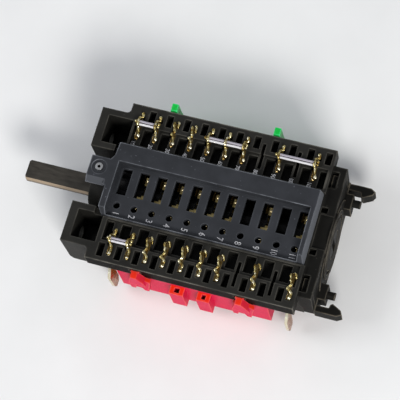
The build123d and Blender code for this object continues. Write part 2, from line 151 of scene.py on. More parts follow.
def world_light():
    world = bpy.data.worlds.new("world")
    bpy.context.scene.world = world
    world.use_nodes = True
    nodes = world.node_tree.nodes
    links = world.node_tree.links
    coords = nodes.new("ShaderNodeTexCoord")
    split = nodes.new("ShaderNodeSeparateXYZ")
    links.new(coords.outputs["Generated"], split.inputs[0])
    height = map_range(nodes, links, split.outputs["Z"], -1.0, 1.0, 0.0, 1.0)
    background = nodes["Background"]
    links.new(ramp(nodes, links, height, SKY), background.inputs["Color"])
    background.inputs["Strength"].default_value = 1.0


# Node helpers
def new_material(name):
    m = bpy.data.materials.new(name)
    m.use_nodes = True
    nodes = m.node_tree.nodes
    return m, nodes, m.node_tree.links, nodes["Principled BSDF"]


def ramp(nodes, links, value, stops, interpolation="LINEAR"):
    """A colour that goes through the stops as the value goes from 0 to 1."""
    r = nodes.new("ShaderNodeValToRGB")
    elements = r.color_ramp.elements
    while len(elements) < len(stops):
        elements.new(0.5)
    for element, (position, colour) in zip(elements, stops):
        element.position = position
        element.color = (*colour, 1)
    r.color_ramp.interpolation = interpolation
    links.new(value, r.inputs["Fac"])
    return r.outputs["Color"]


def clouded(nodes, links, cloud, dark, light):
    """A colour between dark and light, following the middle of a noise."""
    return ramp(nodes, links, cloud, [(0.35, dark), (0.65, light)])


def object_noise(nodes, links, scale, detail=4.0, stretch=(1, 1, 1)):
    coords = nodes.new("ShaderNodeTexCoord")
    mapping = nodes.new("ShaderNodeMapping")
    mapping.inputs["Scale"].default_value = stretch
    links.new(coords.outputs["Object"], mapping.inputs["Vector"])
    cloud = nodes.new("ShaderNodeTexNoise")
    cloud.inputs["Scale"].default_value = scale
    cloud.inputs["Detail"].default_value = detail
    links.new(mapping.outputs["Vector"], cloud.inputs["Vector"])
    return cloud.outputs["Fac"]


def map_range(nodes, links, value, low, high, out_low, out_high):
    m = nodes.new("ShaderNodeMapRange")
    m.inputs["From Min"].default_value = low
    m.inputs["From Max"].default_value = high
    m.inputs["To Min"].default_value = out_low
    m.inputs["To Max"].default_value = out_high
    links.new(value, m.inputs["Value"])
    return m.outputs["Result"]


def combine(nodes, links, operation, a, b):
    m = nodes.new("ShaderNodeMath")
    m.operation = operation
    links.new(a, m.inputs[0])
    links.new(b, m.inputs[1])
    return m.outputs["Value"]


def multiply(nodes, links, a, b):
    return combine(nodes, links, "MULTIPLY", a, b)


def mix_colour(nodes, links, factor, a, b):
    m = nodes.new("ShaderNodeMix")
    m.data_type = "RGBA"
    links.new(factor, m.inputs["Factor"])
    for socket, value in (("A", a), ("B", b)):
        if isinstance(value, tuple):
            m.inputs[socket].default_value = (*value, 1)
        else:
            links.new(value, m.inputs[socket])
    return m.outputs["Result"]


def rounded_normal(nodes, radius):
    """A normal that softens the edges of a shape, in metres."""
    bevel = nodes.new("ShaderNodeBevel")
    bevel.samples = 4
    bevel.inputs["Radius"].default_value = radius
    return bevel.outputs[0]


def edge_mask(nodes, links, radius):
    """1 beside an outward edge, 0 on a flat face and in an inward corner."""
    inside = nodes.new("ShaderNodeAmbientOcclusion")
    inside.inside = True
    inside.only_local = True
    inside.samples = 8
    inside.inputs["Distance"].default_value = radius
    mask = map_range(nodes, links, inside.outputs["AO"], 0.55, 0.92, 1.0, 0.0)
    return mask, rounded_normal(nodes, 0.5 * radius)


def bump_normal(nodes, links, height, strength, base=None):
    bump = nodes.new("ShaderNodeBump")
    bump.inputs["Strength"].default_value = strength
    bump.inputs["Distance"].default_value = 0.0001
    links.new(height, bump.inputs["Height"])
    if base is not None:
        links.new(base, bump.inputs["Normal"])
    return bump.outputs["Normal"]


# Shares: functions that add nodes for a value between 0 and 1 at each place of a surface
def axis_share(source, output, axis, start, end, low, high):
    """Goes from low to high as what the source gives goes from start to end along an axis."""
    def share(nodes, links):
        split = nodes.new("ShaderNodeSeparateXYZ")
        links.new(nodes.new(source).outputs[output], split.inputs[0])
        return map_range(nodes, links, split.outputs[axis], start, end, low, high)
    return share


def along(axis, start, end, low, high):
    """A share by place, in millimetres."""
    return axis_share("ShaderNodeTexCoord", "Object", axis, start * MM, end * MM, low, high)


def facing(axis, start, end, low, high):
    """A share by the direction that a surface faces."""
    return axis_share("ShaderNodeTexCoord", "Normal", axis, start, end, low, high)


def world_facing(axis, start, end, low, high):
    """A share by the direction that a surface faces in the room."""
    return axis_share("ShaderNodeNewGeometry", "Normal", axis, start, end, low, high)


def both(first, second):
    """The product of two shares."""
    def share(nodes, links):
        return multiply(nodes, links, first(nodes, links), second(nodes, links))
    return share


# Materials
def plastic(name, dark, light, edge, rough=(0.45, 0.65), edge_radius=0.28, edge_amount=0.7,
            spec=0.15, strong=(), shaded=(), lit=()):
    """Moulded plastic: clouded colour, pale edges that are partly worn and partly painted edge
    highlight, fine grain and a few pale specks of dust.

    strong holds rows of (axis, from, to, low): the pale edges nearer to the middle than from are
    cut to the share low. shaded and lit hold shares that paint light: where a shaded share is high,
    the plastic gets painted shade, darker and duller; where a lit share is high, it gets painted
    light, some of its edge colour.
    """
    m, nodes, links, bsdf = new_material(name)
    cloud = object_noise(nodes, links, 160.0, 5.0)
    speck = object_noise(nodes, links, 2200.0, 3.0)
    mask, rounded = edge_mask(nodes, links, edge_radius * MM)
    # Pale edges: partly worn, partly painted edge highlight along outward edges.
    edge_wear_and_highlight_cloud = object_noise(nodes, links, 260.0)
    edge_wear_and_highlight = map_range(nodes, links, edge_wear_and_highlight_cloud, 0.38, 0.62, edge_amount * 0.25, edge_amount)
    edge_wear_and_highlight = multiply(nodes, links, mask, edge_wear_and_highlight)
    for axis, start, end, low in strong:
        coords = nodes.new("ShaderNodeTexCoord")
        split = nodes.new("ShaderNodeSeparateXYZ")
        links.new(coords.outputs["Object"], split.inputs[0])
        away = nodes.new("ShaderNodeMath")
        away.operation = "ABSOLUTE"
        links.new(split.outputs[axis], away.inputs[0])
        outer = map_range(nodes, links, away.outputs["Value"], start * MM, end * MM, low, 1.0)
        edge_wear_and_highlight = multiply(nodes, links, edge_wear_and_highlight, outer)
    colour = clouded(nodes, links, cloud, dark, light)
    sheen = None
    # Painted shade: each shaded share darkens the colour and takes away sheen.
    for share in shaded:
        shade = share(nodes, links)
        colour = mix_colour(nodes, links, shade, colour, tuple(0.25 * c for c in dark))
        left = map_range(nodes, links, shade, 0.0, 1.0, 1.0, 0.15)
        sheen = left if sheen is None else multiply(nodes, links, sheen, left)
    # Painted light: each lit share mixes in some of the edge colour.
    for share in lit:
        colour = mix_colour(nodes, links, share(nodes, links), colour, tuple(0.6 * c for c in edge))
    colour = mix_colour(nodes, links, edge_wear_and_highlight, colour, edge)
    dust = map_range(nodes, links, object_noise(nodes, links, 1500.0, 1.0), 0.74, 0.80, 0.0, 0.5)
    colour = mix_colour(nodes, links, dust, colour, tuple(min(1.0, 5 * c) for c in light))
    links.new(colour, bsdf.inputs["Base Color"])
    links.new(map_range(nodes, links, speck, 0.0, 1.0, *rough), bsdf.inputs["Roughness"])
    links.new(bump_normal(nodes, links, speck, 0.12, rounded), bsdf.inputs["Normal"])
    level = bsdf.inputs["Specular IOR Level"]
    if sheen is None:
        level.default_value = spec
    else:
        links.new(map_range(nodes, links, sheen, 0.0, 1.0, 0.0, spec), level)
    return m


def metal(name, dark, light, rough=(0.18, 0.4), scale=900.0, stretch=(1, 1, 1), grain=0.15,
          edge_radius=0.10, metallic=1.0, painted_tone=None):
    """Metal with a clouded tone, uneven polish and softened edges.

    Its last argument holds a second colour and the share that says where it is; they paint light
    and shade on the metal.
    """
    m, nodes, links, bsdf = new_material(name)
    cloud = object_noise(nodes, links, scale, 5.0, stretch)
    colour = clouded(nodes, links, cloud, dark, light)
    # Painted light and shade: the second colour where its share is high.
    if painted_tone is not None:
        second, share = painted_tone
        colour = mix_colour(nodes, links, share(nodes, links), colour, second)
    links.new(colour, bsdf.inputs["Base Color"])
    bsdf.inputs["Metallic"].default_value = metallic
    polish = map_range(nodes, links, cloud, 0.3, 0.7, rough[1], rough[0])
    links.new(polish, bsdf.inputs["Roughness"])
    rounded = rounded_normal(nodes, edge_radius * MM)
    links.new(bump_normal(nodes, links, cloud, grain, rounded), bsdf.inputs["Normal"])
    return m


def strip_plastic(name, top, side, edge, gloss, spec):
    """Glossy coloured plastic with painted light: warmer on its upward faces than on its sides,
    whose tone is a painted reflection of a bluish surround; pale edges partly worn, partly painted
    highlight.
    """
    m, nodes, links, bsdf = new_material(name)
    # Painted light: upward faces take the warm top colour, the sides a painted bluish reflection.
    upward = world_facing("Z", 0.15, 0.75, 0.0, 1.0)(nodes, links)
    colour = mix_colour(nodes, links, upward, side, top)
    shade = map_range(nodes, links, object_noise(nodes, links, 300.0), 0.3, 0.7, 0.0, 0.25)
    colour = mix_colour(nodes, links, shade, colour, tuple(0.6 * c for c in side))
    # Pale edges: partly worn, partly painted edge highlight.
    mask, rounded = edge_mask(nodes, links, 0.4 * MM)
    edge_wear_and_highlight = map_range(nodes, links, object_noise(nodes, links, 500.0), 0.35, 0.65, 0.25, 0.75)
    colour = mix_colour(nodes, links, multiply(nodes, links, mask, edge_wear_and_highlight), colour, edge)
    links.new(colour, bsdf.inputs["Base Color"])
    speck = object_noise(nodes, links, 1500.0, 3.0)
    polish = map_range(nodes, links, speck, 0.3, 0.7, gloss, gloss + 0.15)
    links.new(polish, bsdf.inputs["Roughness"])
    links.new(bump_normal(nodes, links, speck, 0.08, rounded), bsdf.inputs["Normal"])
    bsdf.inputs["Specular IOR Level"].default_value = spec
    return m


SPRING_TIP = along("Y", 2.0, 2.4, 0.0, 1.0)
SPRING_FOOT = along("Y", -2.1, -1.9, 1.0, 0.0)
# Painted glint: the spring's root, seen through the cover's holes, gets the brightest colour so
# that it shows in their shade.
SPRING_ROOT_PAINTED_GLINT = along("Y", -5.4, -4.8, 1.0, 0.0)


def banded_brass(name):
    """Spring brass: dull bands in the middle, gold at both ends, and a painted glint at the root,
    seen through the cover's holes.
    """
    m, nodes, links, bsdf = new_material(name)
    coords = nodes.new("ShaderNodeTexCoord")
    wave = nodes.new("ShaderNodeTexWave")
    wave.bands_direction = "Y"
    wave.inputs["Scale"].default_value = 260.0
    wave.inputs["Distortion"].default_value = 2.0
    links.new(coords.outputs["Object"], wave.inputs["Vector"])
    stripes = [(0.35, (0.010, 0.008, 0.004)), (0.85, (0.30, 0.23, 0.08))]
    bands = ramp(nodes, links, wave.outputs["Fac"], stripes)
    cloud = object_noise(nodes, links, 900.0)
    gold = clouded(nodes, links, cloud, (0.22, 0.16, 0.05), (0.62, 0.50, 0.22))
    bright = clouded(nodes, links, cloud, (0.60, 0.48, 0.20), (1.0, 0.90, 0.60))
    colour = mix_colour(nodes, links, SPRING_TIP(nodes, links), bands, gold)
    colour = mix_colour(nodes, links, SPRING_FOOT(nodes, links), colour, gold)
    # Painted glint at the root.
    colour = mix_colour(nodes, links, SPRING_ROOT_PAINTED_GLINT(nodes, links), colour, bright)
    links.new(colour, bsdf.inputs["Base Color"])
    bsdf.inputs["Metallic"].default_value = 0.8
    links.new(map_range(nodes, links, cloud, 0.3, 0.7, 0.3, 0.5), bsdf.inputs["Roughness"])
    links.new(bump_normal(nodes, links, cloud, 0.15), bsdf.inputs["Normal"])
    return m


# Shares of the terminals, and where across the part the painted highlights on their ball ends start
# and stop
# Where the tabs' faces turn along X; there they get a painted coppery reflection.
TAB_FACE = world_facing("X", 0.4, 0.7, 0.0, 1.0)
BELOW_LEDGE = along("Z", LEDGE_BOTTOM - 0.5, LEDGE_BOTTOM, 1.0, 0.0)
LOW_IN_TOP_PAINTED_SHADE = along("Z", LEDGE_TOP + 0.15, LEDGE_TOP + 0.65, 0.85, 0.0)
RAISED = along("Z", LEDGE_TOP + 0.5, LEDGE_TOP + 0.7, 0.0, 0.9)
ACROSS = along("Y", -ROW_REACH, ROW_REACH, 0.0, 1.0)
END_PAINTED_HIGHLIGHTS = [(-ROW_REACH, 0.0), (-20.60, 1.0), (-20.12, 0.0), (13.45, 1.0), (13.92, 0.0)]
MOTTLED_GOLD = [
    (0.36, (0.15, 0.080, 0.015)),
    (0.46, (0.36, 0.28, 0.09)),
    (0.56, (0.58, 0.50, 0.24)),
    (0.66, (1.0, 0.93, 0.70)),
]


def terminal_brass(name):
    """Stamped brass: mottled tops, with painted shade on their low parts and painted highlights on
    their ball ends.

    The tabs below the ledge get a painted highlight, pale, on their edges and a painted reflection
    of the red strip, coppery, on their faces.
    """
    m, nodes, links, bsdf = new_material(name)
    cloud = object_noise(nodes, links, 1100.0, 5.0)
    gold = ramp(nodes, links, cloud, MOTTLED_GOLD)
    # Painted highlight on the tabs' edges and painted reflection, coppery, on their faces.
    pale = clouded(nodes, links, cloud, (0.60, 0.54, 0.38), (0.85, 0.80, 0.62))
    red_reflection = clouded(nodes, links, cloud, (0.15, 0.045, 0.003), (0.32, 0.110, 0.008))
    face = TAB_FACE(nodes, links)
    tab = mix_colour(nodes, links, face, pale, red_reflection)
    # Painted shade: the low parts of the top, near the ledge, turn dark.
    top = mix_colour(nodes, links, LOW_IN_TOP_PAINTED_SHADE(nodes, links), gold, (0.10, 0.055, 0.010))
    stops = [(0.5 + y / (2 * ROW_REACH), (share, share, share)) for y, share in END_PAINTED_HIGHLIGHTS]
    ends = ramp(nodes, links, ACROSS(nodes, links), stops, "CONSTANT")
    # Painted highlight: bright colour on the raised ball ends.
    pressed = multiply(nodes, links, ends, RAISED(nodes, links))
    top = mix_colour(nodes, links, pressed, top, (1.0, 0.94, 0.72))
    low = BELOW_LEDGE(nodes, links)
    links.new(mix_colour(nodes, links, low, top, tab), bsdf.inputs["Base Color"])
    tab_face = multiply(nodes, links, low, face)
    links.new(map_range(nodes, links, tab_face, 0.0, 1.0, 0.9, 0.25), bsdf.inputs["Metallic"])
    links.new(map_range(nodes, links, cloud, 0.35, 0.65, 0.42, 0.14), bsdf.inputs["Roughness"])
    grain = object_noise(nodes, links, 1500.0, 3.0)
    links.new(bump_normal(nodes, links, grain, 0.5), bsdf.inputs["Normal"])
    return m


# Half the width, across a jumper, over which its bright bar turns into the one with painted shade
SHADED_BAR_EDGE = 0.03


def dull_bar(nodes, links):
    """1 on the bar of each jumper that lies further toward +Y, which gets painted shade, a darker
    mauve-grey.
    """
    near = along("Y", JUMPER_NEAR - SHADED_BAR_EDGE, JUMPER_NEAR + SHADED_BAR_EDGE, 0.0, 1.0)
    before_middle = along("Y", 0.0, 1.0, 1.0, 0.0)
    far = along("Y", JUMPER_FAR - SHADED_BAR_EDGE, JUMPER_FAR + SHADED_BAR_EDGE, 0.0, 1.0)
    near_bar = both(near, before_middle)(nodes, links)
    return combine(nodes, links, "MAXIMUM", near_bar, far(nodes, links))


# Share of painted shade in the rivet's hole, and of a darker tone outside its bright ring, by
# distance from its middle.
RIVET_TONES = [
    (0.0, (1.0, 1.0, 1.0)),
    (0.38, (1.0, 1.0, 1.0)),
    (0.46, (0.0, 0.0, 0.0)),
    (0.98, (0.0, 0.0, 0.0)),
    (1.0, (0.8, 0.8, 0.8)),
]


def rivet_rings(nodes, links):
    """1 in the rivet's hole, where it paints shade, and outside its bright ring, where it darkens
    the steel.
    """
    coords = nodes.new("ShaderNodeTexCoord")
    flat = nodes.new("ShaderNodeVectorMath")
    flat.operation = "MULTIPLY"
    flat.inputs[1].default_value = (1.0, 1.0, 0.0)
    links.new(coords.outputs["Object"], flat.inputs[0])
    away = nodes.new("ShaderNodeVectorMath")
    away.operation = "DISTANCE"
    away.inputs[1].default_value = (RIVET[0] * MM, RIVET[1] * MM, 0.0)
    links.new(flat.outputs["Vector"], away.inputs[0])
    out = map_range(nodes, links, away.outputs["Value"], 0.0, RIVET_RADIUS * MM, 0.0, 1.0)
    return ramp(nodes, links, out, RIVET_TONES)


# Shares of single pieces, which paint light and shade
# Painted shade on the housing's outer -Y ledge wall and on its rear end.
OUTER_WALL_PAINTED_SHADE = both(facing("Y", -0.85, -0.4, 0.90, 0.0), along("Y", -22.0, -21.4, 1.0, 0.0))
REAR_PAINTED_SHADE = along("X", 65.6, 66.6, 0.0, 0.62)
# Painted light on the cover's sloping right end and on the -Y wall of its front lug.
COVER_END_PAINTED_LIGHT = both(facing("X", 0.5, 0.8, 0.0, 1.0), along("X", 64.4, 64.6, 0.0, 1.0))
LUG_FACE_PAINTED_LIGHT = both(facing("Y", -0.8, -0.5, 1.0, 0.0), along("X", 7.4, 7.7, 0.95, 0.0))
# Painted shade on the -Y slope and wall of the cover's near curb.
CURB_FACE_PAINTED_SHADE = both(facing("Y", -0.7, -0.5, 0.75, 0.0), along("Y", -10.10, -10.05, 1.0, 0.0))
# Painted light: a tan flank where the shaft faces -Y and upward.
SHAFT_FLANK_PAINTED_LIGHT = both(facing("Y", -0.55, -0.25, 0.80, 0.0), facing("Z", -0.10, 0.30, 0.0, 1.0))

photo_camera()
for row in LIGHTS:
    area_light(*row)
world_light()

# Housing: painted shade on its outer ledge wall and rear end; its outermost ledge edges keep the
# most of their pale edges, partly worn, partly painted highlight.
HOUSING = plastic(
    "housing_black", (0.0115, 0.0110, 0.0094), (0.0175, 0.0167, 0.0142), (0.19, 0.178, 0.150),
    rough=(0.5, 0.7), edge_radius=0.42, edge_amount=0.95,
    strong=[("Y", 21.6, 22.2, 0.32)], shaded=[OUTER_WALL_PAINTED_SHADE, REAR_PAINTED_SHADE],
)
# Cover: painted shade on its near curb, painted light on its right end and lug wall; edges lower
# than 10.36 mm keep a quarter of their pale edge, which is partly worn, partly painted highlight.
COVER = plastic(
    "cover_grey", (0.023, 0.0245, 0.028), (0.032, 0.034, 0.039), (0.19, 0.20, 0.22),
    rough=(0.42, 0.6), edge_radius=0.38, edge_amount=1.0,
    strong=[("Z", 10.36, 10.42, 0.25)], shaded=[CURB_FACE_PAINTED_SHADE], lit=[COVER_END_PAINTED_LIGHT, LUG_FACE_PAINTED_LIGHT],
)
# Painted shade: a darker copy of the housing plastic for the rear end cap.
CAP_PAINTED_SHADE = plastic(
    "cap_black", (0.0060, 0.0058, 0.0050), (0.0100, 0.0095, 0.0082), (0.19, 0.165, 0.125),
    rough=(0.5, 0.7), edge_radius=0.42, edge_amount=0.75, spec=0.08,
)
# Shaft steel with painted light, a tan band, on its -Y flank.
SHAFT = metal(
    "shaft_steel", (0.030, 0.026, 0.020), (0.060, 0.053, 0.042),
    rough=(0.42, 0.6), stretch=(0.25, 1, 1), metallic=0.5, painted_tone=((0.46, 0.35, 0.24), SHAFT_FLANK_PAINTED_LIGHT),
)
# Rivet steel with painted shade in its hole.
STEEL = metal(
    "rivet_steel", (0.42, 0.42, 0.41), (0.86, 0.86, 0.84),
    scale=1400.0, edge_radius=0.18, grain=0.3, painted_tone=((0.05, 0.05, 0.05), rivet_rings),
)
BRASS = terminal_brass("terminal_brass")
CONTACT = banded_brass("contact_brass")
BUTTON = metal(
    "button_brass", (0.62, 0.46, 0.20), (1.0, 0.90, 0.62), rough=(0.12, 0.3), scale=1500.0,
)
# Tinned jumpers; the bar further toward +Y gets painted shade, a darker mauve-grey.
TINNED = metal(
    "jumper_tin", (0.78, 0.75, 0.78), (1.0, 0.99, 0.98), rough=(0.25, 0.40), scale=600.0,
    stretch=(0.3, 1, 1), metallic=0.45, grain=0.05, painted_tone=((0.48, 0.45, 0.50), dull_bar),
)
DRUM = plastic("drum_black", (0.006, 0.006, 0.006), (0.010, 0.010, 0.010), (0.03, 0.03, 0.03))
DETENT = plastic("detent_grey", (0.009, 0.009, 0.010), (0.015, 0.015, 0.016), (0.04, 0.04, 0.04))
# Red and green strips with painted light: warm tops, sides tinted by a painted reflection.
RED = strip_plastic(
    "strip_red", (0.76, 0.026, 0.004), (0.60, 0.009, 0.060), (0.90, 0.16, 0.13), 0.40, 0.10,
)
GREEN = strip_plastic(
    "strip_green", (0.002, 0.46, 0.045), (0.002, 0.36, 0.05), (0.06, 0.85, 0.28), 0.20, 0.4,
)
MARK = plastic(
    "mark_grey", (0.28, 0.28, 0.30), (0.44, 0.44, 0.46), (0.5, 0.5, 0.5), rough=(0.5, 0.7),
)
# Painted light: a paler copy of the mark colour for the far numbers, which lie in the cover's
# shade.
FAR_MARK_PAINTED_LIGHT = plastic(
    "mark_pale", (0.45, 0.45, 0.47), (0.75, 0.75, 0.77), (0.8, 0.8, 0.8), rough=(0.5, 0.7),
)

# The material of each slot
LOOKS = {
    "housing": HOUSING,
    "cover": COVER,
    "shaft": SHAFT,
    "steel": STEEL,
    "terminal": BRASS,
    "contact": CONTACT,
    "jumper": TINNED,
    "drum": DRUM,
    "drum_light": DETENT,
    "strip_red": RED,
    "strip_green": GREEN,
}
for sub in frame["record"]["subparts"]:
    node = frame["nodes"][sub["node"]]
    node.data.materials.clear()
    # The rear end cap takes the darker copy of the housing plastic, painted shade.
    look = CAP_PAINTED_SHADE if sub["node"] == "rear_end_cap" else LOOKS[sub["material_slot"]]
    node.data.materials.append(look)


# Mesh helpers
SMOOTH_ANGLE = 40.0


def add_piece(name, bm, material, body=BODY):
    mesh = bpy.data.meshes.new(name)
    bm.normal_update()
    bm.to_mesh(mesh)
    bm.free()
    mesh.materials.append(material)
    for polygon in mesh.polygons:
        polygon.use_smooth = True
    mesh.set_sharp_from_angle(angle=math.radians(SMOOTH_ANGLE))
    piece = bpy.data.objects.new(name, mesh)
    bpy.context.scene.collection.objects.link(piece)
    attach(piece, body)
    return piece


def between(a, b, c, d, t):
    """The value at share t of the way from b to c on a smooth line through a, b, c and d."""
    return 0.5 * (
        2 * b
        + (c - a) * t
        + (2 * a - 5 * b + 4 * c - d) * t * t
        + (3 * b - a - 3 * c + d) * t ** 3
    )


def through(points, steps):
    """Points of a smooth line through the given rows of numbers."""
    rows = [points[0]] + points + [points[-1]]
    line = []
    for k in range(1, len(rows) - 2):
        for j in range(steps):
            line.append(tuple(between(*values, j / steps) for values in zip(*rows[k - 1:k + 3])))
    line.append(rows[-2])
    return line


def sweep(bm, rows, sides=14, squareness=3.0, lift=(0, 0, 1)):
    """Skins a rounded bar along rows of (x, y, z, width, height) in millimetres."""
    rings = []
    last = len(rows) - 1
    for k, (x, y, z, width, height) in enumerate(rows):
        a = Vector(rows[max(k - 1, 0)][:3])
        b = Vector(rows[min(k + 1, last)][:3])
        ahead = (b - a).normalized()
        across = ahead.cross(Vector(lift)).normalized()
        above = across.cross(ahead).normalized()
        ring = []
        for s in range(sides):
            angle = 2 * math.pi * s / sides
            c = math.cos(angle)
            d = math.sin(angle)
            stretch = (abs(c) ** squareness + abs(d) ** squareness) ** (-1 / squareness)
            offset = across * (c * stretch * width / 2) + above * (d * stretch * height / 2)
            ring.append(bm.verts.new((Vector((x, y, z)) + offset) * MM))
        rings.append(ring)
    for first, second in zip(rings, rings[1:]):
        for s in range(sides):
            n = (s + 1) % sides
            bm.faces.new((first[s], first[n], second[n], second[s]))
    bm.faces.new(rings[0][::-1])
    bm.faces.new(rings[-1])


def knob(bm, place, size, seed):
    """A lump of pressed brass."""
    rng = random.Random(seed)
    made = bmesh.ops.create_icosphere(bm, subdivisions=2, radius=1.0)
    turn = Matrix.Rotation(rng.uniform(-0.5, 0.5), 3, "Z")
    for v in made["verts"]:
        lump = 1 + 0.10 * math.sin(5 * v.co.x + seed) * math.cos(4 * v.co.y + seed)
        v.co = turn @ Vector((v.co.x * size[0], v.co.y * size[1], v.co.z * size[2])) * lump
        v.co = (v.co + Vector(place)) * MM


def blade_mesh(node_name):
    """The CAD terminal below its formed top."""
    bm = bmesh.new()
    bm.from_mesh(frame["nodes"][node_name].data)
    bmesh.ops.remove_doubles(bm, verts=bm.verts, dist=1e-6)
    geom = bm.verts[:] + bm.edges[:] + bm.faces[:]
    cut = bmesh.ops.bisect_plane(
        bm, geom=geom, plane_co=(0, 0, LEDGE_TOP * MM), plane_no=(0, 0, 1), clear_outer=True,
    )
    rim = [e for e in cut["geom_cut"] if isinstance(e, bmesh.types.BMEdge)]
    bmesh.ops.edgenet_fill(bm, edges=rim)
    return bm


# Formed tops of the terminals: sideways step, place across the row, width and height of the bar
NEAR_HOOKED = [
    (0.50, -20.50, 0.45, 0.50), (0.48, -20.05, 1.05, 1.15), (0.58, -19.40, 0.72, 0.85),
    (0.58, -18.75, 0.85, 1.00), (0.10, -18.20, 0.78, 0.90), (-0.58, -17.72, 1.00, 1.15),
    (-0.42, -17.10, 0.70, 0.90), (0.02, -16.55, 0.86, 1.10), (-0.12, -15.90, 0.72, 0.95),
    (-0.28, -15.35, 0.80, 1.10), (-0.50, -14.70, 0.66, 0.95), (-0.70, -14.10, 0.74, 1.05),
    (-0.72, -13.62, 0.46, 0.75), (-0.42, -13.30, 0.22, 0.30), (-0.02, -13.16, 0.22, 0.30),
    (0.30, -13.18, 0.56, 0.90), (0.66, -13.55, 0.66, 0.95), (0.84, -14.20, 0.52, 0.80),
    (0.86, -14.75, 0.30, 0.40),
]
NEAR_JOINED = [
    (0.52, -20.85, 0.45, 0.50), (0.48, -20.40, 1.00, 1.15), (0.60, -19.45, 0.76, 0.90),
    (0.50, -18.30, 0.84, 1.00), (-0.18, -17.45, 0.78, 1.30), (-0.50, -16.70, 0.96, 2.15),
    (-0.52, -15.95, 0.84, 2.05), (-0.42, -15.20, 0.82, 1.20), (0.10, -14.90, 0.60, 0.90),
    (0.50, -14.55, 0.68, 0.95), (0.50, -14.05, 0.84, 1.05), (0.36, -13.55, 0.98, 1.15),
    (0.33, -13.15, 0.45, 0.50),
]
FAR_HOOKED = [
    (0.64, 13.40, 0.45, 0.50), (0.66, 13.80, 0.98, 1.10), (0.42, 14.45, 0.64, 0.75),
    (0.32, 15.20, 0.66, 0.80), (0.00, 15.90, 0.62, 0.85), (-0.46, 16.42, 0.96, 1.05),
    (-0.20, 16.92, 0.66, 0.85), (0.16, 17.20, 0.76, 0.95), (-0.04, 17.75, 0.82, 1.10),
    (-0.24, 18.40, 0.70, 0.95), (-0.40, 19.00, 0.68, 1.00), (-0.50, 19.62, 0.72, 1.05),
    (-0.50, 20.02, 0.46, 0.75), (-0.20, 20.28, 0.22, 0.30), (0.08, 20.36, 0.22, 0.30),
    (0.40, 20.30, 0.54, 0.90), (0.74, 19.88, 0.66, 0.95), (0.74, 18.95, 0.52, 0.80),
    (0.76, 18.40, 0.30, 0.40),
]
FAR_JOINED = [
    (0.72, 13.45, 0.45, 0.50), (0.70, 13.85, 0.94, 1.10), (0.45, 14.60, 0.64, 0.75),
    (0.34, 15.40, 0.70, 0.85), (-0.10, 16.35, 0.78, 1.25), (-0.32, 17.05, 0.92, 2.15),
    (-0.32, 17.80, 0.82, 2.05), (-0.38, 18.50, 0.78, 1.15), (-0.32, 19.02, 0.82, 1.05),
    (0.12, 19.20, 0.60, 0.85), (0.46, 19.40, 0.66, 0.90), (0.42, 19.85, 0.84, 1.05),
    (0.28, 20.30, 0.98, 1.15), (0.25, 20.66, 0.45, 0.50),
]
TOP_SEAT = LEDGE_TOP - 0.25
TOP_SWAY = 0.07
TOP_WOBBLE = 0.06
TOP_DRIFT = 0.05
TOP_FULLNESS = (0.84, 0.98)

# Jumper bars: their height, half spacing, and how far they reach past the first and last terminal
BAR_Z = LEDGE_TOP + 1.0
BAR_STEP = 0.41
BAR_START = -0.55
BAR_STOP = -0.25
BAR_SECTION = (0.62, 0.56)
BAR_TIP = (0.30, 0.30)
BAR_TIP_INSET = 0.05
BAR_FULL_INSET = 0.2
BAR_SPANS = 6
BAR_WANDER = 0.025
WEB_SECTION = (0.75, 0.14)
WEB_SPAN = (0.15, 0.65)
WEB_DROP = 0.12

# Lumps beside a jumper's ends: offsets from the terminal and the bar, half sizes, seed factor
FIRST_KNOBS = [(-1.0, 0.25, -0.15, (0.46, 0.52, 0.48), 1)]
LAST_KNOBS = [
    (0.52, 0.70, -0.05, (0.40, 0.50, 0.46), 3),
    (0.50, -0.10, 0.0, (0.36, 0.42, 0.44), 5),
]


def joined_by(side, i):
    """The jumper that joins this terminal, as its first and last positions, or nothing."""
    for _, first, last, jumper_side in JUMPERS:
        if jumper_side == side and first <= i <= last:
            return first, last
    return None


def terminal(side, i):
    """A terminal: its CAD blade up to the ledge, and its formed top above."""
    near = side < 0
    name = f"{'near' if near else 'far'}_terminal_{i:02d}"
    x0 = near_x(i) if near else far_x(i)
    jumper_y = JUMPER_NEAR if near else JUMPER_FAR
    joined = joined_by(side, i)
    if near:
        path = NEAR_JOINED if joined else NEAR_HOOKED
    else:
        path = FAR_JOINED if joined else FAR_HOOKED
    rng = random.Random(100 * i + side)
    bm = blade_mesh(name)
    sway = rng.uniform(-TOP_SWAY, TOP_SWAY)
    rows = []
    for dx, y, width, height in path:
        fat = rng.uniform(*TOP_FULLNESS)
        shift = sway + rng.uniform(-TOP_WOBBLE, TOP_WOBBLE)
        drift = rng.uniform(-TOP_DRIFT, TOP_DRIFT)
        middle = (x0 + dx + shift, y + drift, TOP_SEAT + height / 2)
        rows.append((*middle, width * fat, height * fat))
    sweep(bm, through(rows, 4))
    if joined and i in joined:
        for dx, dy, dz, size, factor in FIRST_KNOBS if i == joined[0] else LAST_KNOBS:
            knob(bm, (x0 + dx, jumper_y + dy, BAR_Z + dz), size, factor * i + side)
    piece = add_piece(f"{name}_formed", bm, BRASS)
    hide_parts(name)


for i in FITTED:
    terminal(-1, i)
    terminal(1, i)


